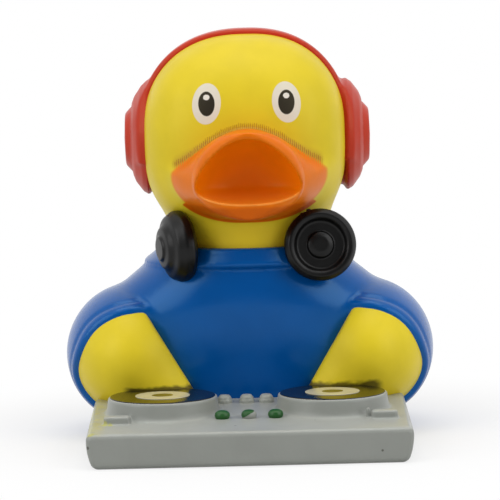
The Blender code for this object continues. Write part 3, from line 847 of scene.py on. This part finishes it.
class Paint:
    """A material's nodes, built up one call at a time."""

    def __init__(self, name):
        self.material = bpy.data.materials.new(name)
        self.material.use_nodes = True
        self.tree = self.material.node_tree
        self.shader = self.tree.nodes["Principled BSDF"]
        self.place = self.add("ShaderNodeNewGeometry").outputs["Position"]

    def add(self, kind, inputs=(), **settings):
        node = self.tree.nodes.new(kind)
        for setting, value in settings.items():
            setattr(node, setting, value)
        for socket, value in dict(inputs).items():
            self.set(node.inputs[socket], value)
        return node

    def set(self, socket, value):
        if isinstance(value, bpy.types.NodeSocket):
            self.tree.links.new(value, socket)
        elif isinstance(value, tuple) and len(value) == 3 and socket.type == "RGBA":
            socket.default_value = (*value, 1.0)
        else:
            socket.default_value = value

    def noise(self, size, detail=2.0, stretch=(1, 1, 1)):
        """Noise whose blots are about the given size in millimetres."""
        place = self.add("ShaderNodeMapping", {"Vector": self.place, "Scale": stretch}).outputs["Vector"]
        inputs = {"Vector": place, "Scale": 1 / (size * MM), "Detail": detail}
        return self.add("ShaderNodeTexNoise", inputs).outputs["Fac"]

    def ramp(self, value, low, high, start=0.0, end=1.0):
        """The value's place between low and high, smoothly, as a share from start to end."""
        inputs = {"Value": value, "From Min": low, "From Max": high, "To Min": start, "To Max": end}
        return self.add("ShaderNodeMapRange", inputs, interpolation_type="SMOOTHSTEP").outputs["Result"]

    def between(self, value, places, start=0.0, end=1.0):
        """A ramp between two places in millimetres."""
        return self.ramp(value, places[0] * MM, places[1] * MM, start, end)

    def maths(self, operation, first, second=0.0):
        return self.add("ShaderNodeMath", {0: first, 1: second}, operation=operation).outputs["Value"]

    def sum(self, first, second):
        return self.maths("ADD", first, second)

    def product(self, first, second):
        return self.maths("MULTIPLY", first, second)

    def difference(self, first, second):
        return self.maths("SUBTRACT", first, second)

    def mark(self, name):
        return self.add("ShaderNodeAttribute", attribute_name=name).outputs["Fac"]

    def mix(self, share, first, second):
        node = self.add("ShaderNodeMix", data_type="RGBA")
        self.set(node.inputs["Factor"], share)
        self.set(node.inputs[6], first)
        self.set(node.inputs[7], second)
        return node.outputs[2]

    def finish(self, colour, roughness, gloss=0.35, tint=(1.0, 1.0, 1.0), grain=0.02, grain_size=0.8):
        """Close the material: gloss that varies a little, and the fine grain of a cast surface."""
        self.set(self.shader.inputs["Specular Tint"], tint)
        self.set(self.shader.inputs["Base Color"], colour)
        blots = self.noise(6.0, 3.0)
        blots = self.ramp(blots, 0.3, 0.7, roughness * 0.88, roughness * 1.12)
        self.set(self.shader.inputs["Roughness"], blots)
        self.shader.inputs["Specular IOR Level"].default_value = gloss
        inputs = {"Height": self.noise(grain_size, 2.0), "Strength": 1.0, "Distance": grain * MM}
        bump = self.add("ShaderNodeBump", inputs)
        self.set(self.shader.inputs["Normal"], bump.outputs["Normal"])
        return self.material

    def worn(self, colour, share=0.9, size=9.0):
        """The colour, a little darker here and there."""
        darker = tuple(value * share for value in colour)
        return self.mix(self.ramp(self.noise(size, 4.0), 0.35, 0.65), darker, colour)


YELLOW = tone(234, 210, 45)
ORANGE = tone(236, 114, 0)
RED = tone(192, 44, 26)
BLUE = tone(0, 85, 165)
GREY = tone(151, 154, 148)
GREEN = tone(34, 88, 36)
BLACK = tone(5, 5, 5)
# A dark brown for the desk's specks, and for painted shade on the hands at the records
DARK_SPECK_AND_SHADE = tone(42, 34, 14)
FRINGE_BROWN = tone(168, 108, 26)
SHADED_UNDER_ORANGE = tone(204, 88, 0)
LIT_MOUTH_ORANGE = tone(255, 160, 0)
LIP_HIGHLIGHT_ORANGE = tone(246, 156, 70)
EYE_WHITE = tone(228, 220, 203)
PUPIL_BLACK = tone(38, 34, 30)
GLINT_WHITE = tone(232, 226, 216)
LIT_DESK_TOP_GREY = tone(172, 175, 168)
RUBBED_YELLOW = tone(190, 184, 84)
RUB_YELLOW = tone(186, 184, 78)
KNOB_GREY = tone(166, 169, 161)
RECORD_BLACK = tone(24, 23, 20)
LABEL_CREAM = tone(212, 204, 168)
LABEL_MIDDLE = tone(60, 56, 40)

# The gloss of cast vinyl and of paint takes on some of these tints
WARM_TINT = (1.0, 0.88, 0.5)
COOL_TINT = (0.4, 0.75, 1.0)


def head_paint():
    """Yellow, with the bill brushed on in orange up to a fringe of fine strokes, and the eyes. Under the
    bill the orange is darkened with painted shade, the lower lip's rim has a painted highlight, and the
    inside of the mouth is painted lighter.
    """
    paint = Paint("head paint")
    yellow = paint.worn(YELLOW, 0.94)
    bill = paint.mark("bill")
    parts = paint.add("ShaderNodeSeparateXYZ", {"Vector": paint.place}).outputs
    turn = paint.product(parts["X"], 2 * math.pi / (STREAK * MM))
    turn = paint.sum(turn, paint.product(paint.noise(0.5), 5.0))
    hairs = paint.ramp(paint.maths("SINE", turn), -0.5, 0.7)
    reach = paint.ramp(paint.noise(0.3, 1.0), 0.3, 0.7, FRINGE * 0.75, FRINGE)
    side = paint.maths("ABSOLUTE", parts["X"])
    above = paint.between(parts["Z"], FRINGE_HEIGHTS)
    above = paint.product(above, paint.between(side, FRINGE_SIDES, 1.0, 0.0))
    reach = paint.product(reach, paint.between(side, FRINGE_NARROWS, 1.0, 0.55))
    fringe = paint.ramp(paint.difference(reach, bill), 0.0, 0.35)
    fringe = paint.product(paint.product(fringe, hairs), above)
    haze = paint.sum(paint.product(paint.ramp(bill, 0.0, FRINGE * 0.9, 0.6, 0.0), above), 0.06)
    haze = paint.sum(haze, paint.product(fringe, 0.55))
    colour = paint.mix(haze, yellow, FRINGE_BROWN)
    orange = paint.worn(ORANGE, 0.93, 5.0)
    # Painted shade: the orange under the bill is darker, and the paint's edge also reaches lower there
    underside_shade_and_spill = paint.between(parts["Z"], UNDER_SHADE_AND_SPILL_HEIGHTS, 1.0, 0.0)
    orange = paint.mix(paint.product(underside_shade_and_spill, 0.8), orange, SHADED_UNDER_ORANGE)
    mouth = paint.mark("mouth")
    # Painted light: the inside of the mouth is a lighter orange, lifting the shade in the hollow
    orange = paint.mix(paint.ramp(mouth, -0.3, 0.3, 0.9, 0.0), orange, LIT_MOUTH_ORANGE)
    # Painted highlight: a lighter orange along the rim of the lower lip
    lip_highlight = paint.product(paint.ramp(mouth, -0.1, 0.15), paint.ramp(mouth, 0.3, 0.55, 1.0, 0.0))
    lip_highlight = paint.product(lip_highlight, paint.between(parts["Z"], LIP_HIGHLIGHT_HEIGHTS, 0.7, 0.0))
    orange = paint.mix(lip_highlight, orange, LIP_HIGHLIGHT_ORANGE)
    edge = paint.difference(bill, paint.product(paint.product(hairs, above), 0.15))
    edge = paint.difference(edge, paint.product(underside_shade_and_spill, 0.45))
    colour = paint.mix(paint.ramp(edge, -0.02, 0.14, 1.0, 0.0), colour, orange)
    for name, fill in (("eye", EYE_WHITE), ("pupil", PUPIL_BLACK), ("glint", GLINT_WHITE)):
        colour = paint.mix(paint.ramp(paint.mark(name), -0.06, 0.06, 1.0, 0.0), colour, fill)
    return paint.finish(colour, 0.42, 0.28, WARM_TINT)


def arm_paint():
    """Yellow, with painted shade along the edge where the hand rests on the record."""
    paint = Paint("arm paint")
    parts = paint.add("ShaderNodeSeparateXYZ", {"Vector": paint.place}).outputs
    unevenness = paint.product(paint.noise(1.6, 3.0, (0.5, 1, 1)), 2.0 * MM)
    height = paint.difference(parts["Z"], unevenness)
    # Painted shade: a dark band on the hand just at the record's top, where the hand rests on it
    low = paint.between(height, (RECORD_TOP - 0.8, RECORD_TOP + 0.1), 1.0, 0.0)
    across = paint.between(paint.maths("ABSOLUTE", parts["X"]), CONTACT_SHADE_SIDES, 0.85, 0.0)
    share = paint.product(low, across)
    return paint.finish(paint.mix(share, paint.worn(YELLOW, 0.94), DARK_SPECK_AND_SHADE), 0.42, 0.28, WARM_TINT)


def desk_paint():
    """Grey with painted light that makes the top paler than the sides, with yellow rubbed onto the right
    end and a few dark specks.
    """
    paint = Paint("grey paint")
    parts = paint.add("ShaderNodeSeparateXYZ", {"Vector": paint.place}).outputs
    normal = paint.add("ShaderNodeNewGeometry").outputs["Normal"]
    upright = paint.add("ShaderNodeSeparateXYZ", {"Vector": normal}).outputs["Z"]
    sides, top = paint.worn(GREY, 0.95), paint.worn(LIT_DESK_TOP_GREY, 0.95)
    # Painted light: faces that look up get a paler grey than the sides
    colour = paint.mix(paint.ramp(upright, 0.5, 0.95), sides, top)
    end = paint.between(parts["X"], RUBBED_END, 1.0, 0.0)
    end = paint.product(end, paint.between(parts["Z"], RUBBED_HEIGHTS))
    rubbed = paint.product(end, paint.ramp(paint.noise(2.0, 3.0), 0.4, 0.6, 0.15, 0.5))
    colour = paint.mix(rubbed, colour, RUBBED_YELLOW)
    for spots, stain in ((DESK_RUBS, RUB_YELLOW), (DESK_SPECKS, DARK_SPECK_AND_SHADE)):
        for place, size in spots:
            inputs = {0: paint.place, 1: [value * MM for value in place]}
            away = paint.add("ShaderNodeVectorMath", inputs, operation="DISTANCE").outputs["Value"]
            colour = paint.mix(paint.between(away, (size / 2, size), 0.7, 0.0), colour, stain)
    return paint.finish(colour, 0.36)


def vinyl(name, colour, roughness=0.42, **options):
    """Plain vinyl or paint of one colour."""
    paint = Paint(name)
    return paint.finish(paint.worn(colour, 0.94), roughness, **options)


def record_paint():
    """Black with fine rings round the middle."""
    paint = Paint("record paint")
    rings = paint.maths("SINE", paint.product(paint.mark("radius"), 2 * math.pi / RECORD_GROOVE))
    material = paint.finish(paint.worn(RECORD_BLACK), 0.16)
    bump = paint.add("ShaderNodeBump", {"Height": rings, "Strength": 0.4, "Distance": 0.004 * MM})
    paint.set(paint.shader.inputs["Normal"], bump.outputs["Normal"])
    return material


def label_paint():
    """Cream, with a dark disc in the middle whose edge isn't quite even."""
    paint = Paint("label paint")
    radius = paint.sum(paint.mark("radius"), paint.product(paint.noise(1.2), 0.25))
    cream = paint.worn(LABEL_CREAM, 0.95, 3.0)
    outer = paint.ramp(radius, LABEL_CENTRE + 0.05, LABEL_CENTRE + 0.25)
    colour = paint.mix(outer, LABEL_MIDDLE, cream)
    return paint.finish(colour, 0.22)


def half_button_paint():
    """Green only on one side of a slanting edge, where the brush missed the rest."""
    paint = Paint("half painted button")
    parts = paint.add("ShaderNodeSeparateXYZ", {"Vector": paint.place}).outputs
    across = paint.sum(parts["X"], -(BUTTON_XS[1] + DESK_X) * MM)
    up = paint.sum(parts["Z"], -(desk_height(BUTTON_Y) + BUTTON_MIDDLE) * MM)
    slant = paint.difference(paint.product(up, BUTTON_SLANT), across)
    slant = paint.sum(slant, paint.product(paint.noise(0.8), 0.5 * MM))
    colour = paint.mix(paint.between(slant, (-0.1, 0.2)), GREY, paint.worn(GREEN))
    return paint.finish(colour, 0.4)


def aim(item, target):
    """Turn a lamp so that it looks at the target."""
    away = item.location - Vector(target) * MM
    item.rotation_euler = away.to_track_quat("Z", "Y").to_euler()


def make_light():
    """Soft boxes at both sides and above, and a plain white studio round the rest of it."""
    for index, (place, size, power) in enumerate(SOFT_BOXES):
        data = bpy.data.lights.new(f"soft_box_{index}", "AREA")
        data.shape = "RECTANGLE"
        data.size, data.size_y = size[0] * MM, size[1] * MM
        data.energy = power
        lamp = bpy.data.objects.new(f"soft_box_{index}", data)
        lamp.location = Vector(place) * MM
        aim(lamp, AIM)
        bpy.context.scene.collection.objects.link(lamp)
    world = bpy.data.worlds.new("world")
    world.use_nodes = True
    tree = world.node_tree
    background = tree.nodes["Background"]
    background.inputs["Color"].default_value = (1, 1, 1, 1)
    path = tree.nodes.new("ShaderNodeLightPath")
    shown = tree.nodes.new("ShaderNodeMath")
    shown.operation = "MAXIMUM"
    tree.links.new(path.outputs["Is Camera Ray"], shown.inputs[0])
    tree.links.new(path.outputs["Is Transmission Ray"], shown.inputs[1])
    direction = tree.nodes.new("ShaderNodeSeparateXYZ")
    coordinates = tree.nodes.new("ShaderNodeTexCoord")
    tree.links.new(coordinates.outputs["Generated"], direction.inputs["Vector"])
    front = tree.nodes.new("ShaderNodeMapRange")
    front.interpolation_type = "SMOOTHSTEP"
    front.inputs["From Min"].default_value = FRONT_SKY_EDGES[0]
    front.inputs["From Max"].default_value = FRONT_SKY_EDGES[1]
    front.inputs["To Min"].default_value = FRONT_SKY
    front.inputs["To Max"].default_value = SKY
    tree.links.new(direction.outputs["Y"], front.inputs["Value"])
    glossy = tree.nodes.new("ShaderNodeMath")
    glossy.operation = "MULTIPLY_ADD"
    tree.links.new(path.outputs["Is Glossy Ray"], glossy.inputs[0])
    tree.links.new(front.outputs["Result"], glossy.inputs[1])
    tree.links.new(front.outputs["Result"], glossy.inputs[2])
    strength = tree.nodes.new("ShaderNodeMix")
    tree.links.new(shown.outputs["Value"], strength.inputs["Factor"])
    tree.links.new(glossy.outputs["Value"], strength.inputs["A"])
    strength.inputs["B"].default_value = 1.0
    tree.links.new(strength.outputs["Result"], background.inputs["Strength"])
    bpy.context.scene.world = world


def make_floor():
    """A pale floor that keeps the duck's shadow and fades into the white studio further out."""
    mesh = bpy.data.meshes.new("floor")
    corners = [(x * FLOOR_REACH, y * FLOOR_REACH, 0) for x, y in ((-1, -1), (1, -1), (1, 1), (-1, 1))]
    mesh.from_pydata(corners, [], [(0, 1, 2, 3)])
    floor = bpy.data.objects.new("floor", mesh)
    bpy.context.scene.collection.objects.link(floor)
    paint = Paint("floor paint")
    path = paint.add("ShaderNodeLightPath").outputs
    dim, pale = ((value,) * 3 for value in FLOOR_TONES)
    paint.set(paint.shader.inputs["Base Color"], paint.mix(path["Is Camera Ray"], dim, pale))
    paint.set(paint.shader.inputs["Roughness"], paint.ramp(paint.noise(30.0), 0.3, 0.7, 0.7, 0.9))
    length = paint.add("ShaderNodeVectorMath", {0: paint.place}, operation="LENGTH").outputs["Value"]
    white = paint.add("ShaderNodeEmission", {"Color": (1.0, 1.0, 1.0), "Strength": 1.0})
    seen = paint.maths("MAXIMUM", path["Is Camera Ray"], path["Is Glossy Ray"])
    seen = paint.maths("MAXIMUM", seen, path["Is Transmission Ray"])
    share = paint.product(paint.ramp(length, *FLOOR_FADE, FLOOR_WHITE, 1.0), seen)
    both = paint.add("ShaderNodeMixShader")
    paint.set(both.inputs[0], share)
    paint.set(both.inputs[1], paint.shader.outputs["BSDF"])
    paint.set(both.inputs[2], white.outputs["Emission"])
    paint.set(paint.tree.nodes["Material Output"].inputs["Surface"], both.outputs["Shader"])
    mesh.materials.append(paint.material)


def make_camera():
    """The photograph's view: a long lens a little above the duck."""
    data = bpy.data.cameras.new("camera")
    data.sensor_width = SENSOR
    data.lens = SENSOR * FOCAL_PIXELS / FRAME_PIXELS
    data.clip_end = 10
    camera = bpy.data.objects.new("camera", data)
    away = Vector((0, -math.cos(ELEVATION), math.sin(ELEVATION)))
    camera.location = (Vector(AIM) + away * DISTANCE) * MM
    turn = Euler((math.pi / 2 - ELEVATION, 0, 0)).to_matrix() @ Matrix.Rotation(-ROLL, 3, "Z")
    camera.rotation_euler = turn.to_euler()
    bpy.context.scene.collection.objects.link(camera)
    bpy.context.scene.camera = camera


yellow_vinyl = vinyl("yellow vinyl", YELLOW, gloss=0.28, tint=WARM_TINT)
black_vinyl = vinyl("black paint", BLACK, 0.34, gloss=0.27)
make_head(head_paint())
make_headphones(vinyl("red paint", RED, 0.38, tint=WARM_TINT))
make_neck_cups(black_vinyl)
make_nape_band(black_vinyl)
make_body(vinyl("blue paint", BLUE, 0.22, gloss=0.42, tint=COOL_TINT))
make_arms(arm_paint())
make_tail(yellow_vinyl)
make_desk(desk_paint())
make_records(record_paint(), label_paint())
knob_paint = vinyl("knob paint", KNOB_GREY, 0.4)
make_controls(knob_paint, vinyl("green paint", GREEN, 0.4), half_button_paint())
make_floor()
make_camera()
make_light()
bpy.context.scene.view_settings.view_transform = "Standard"
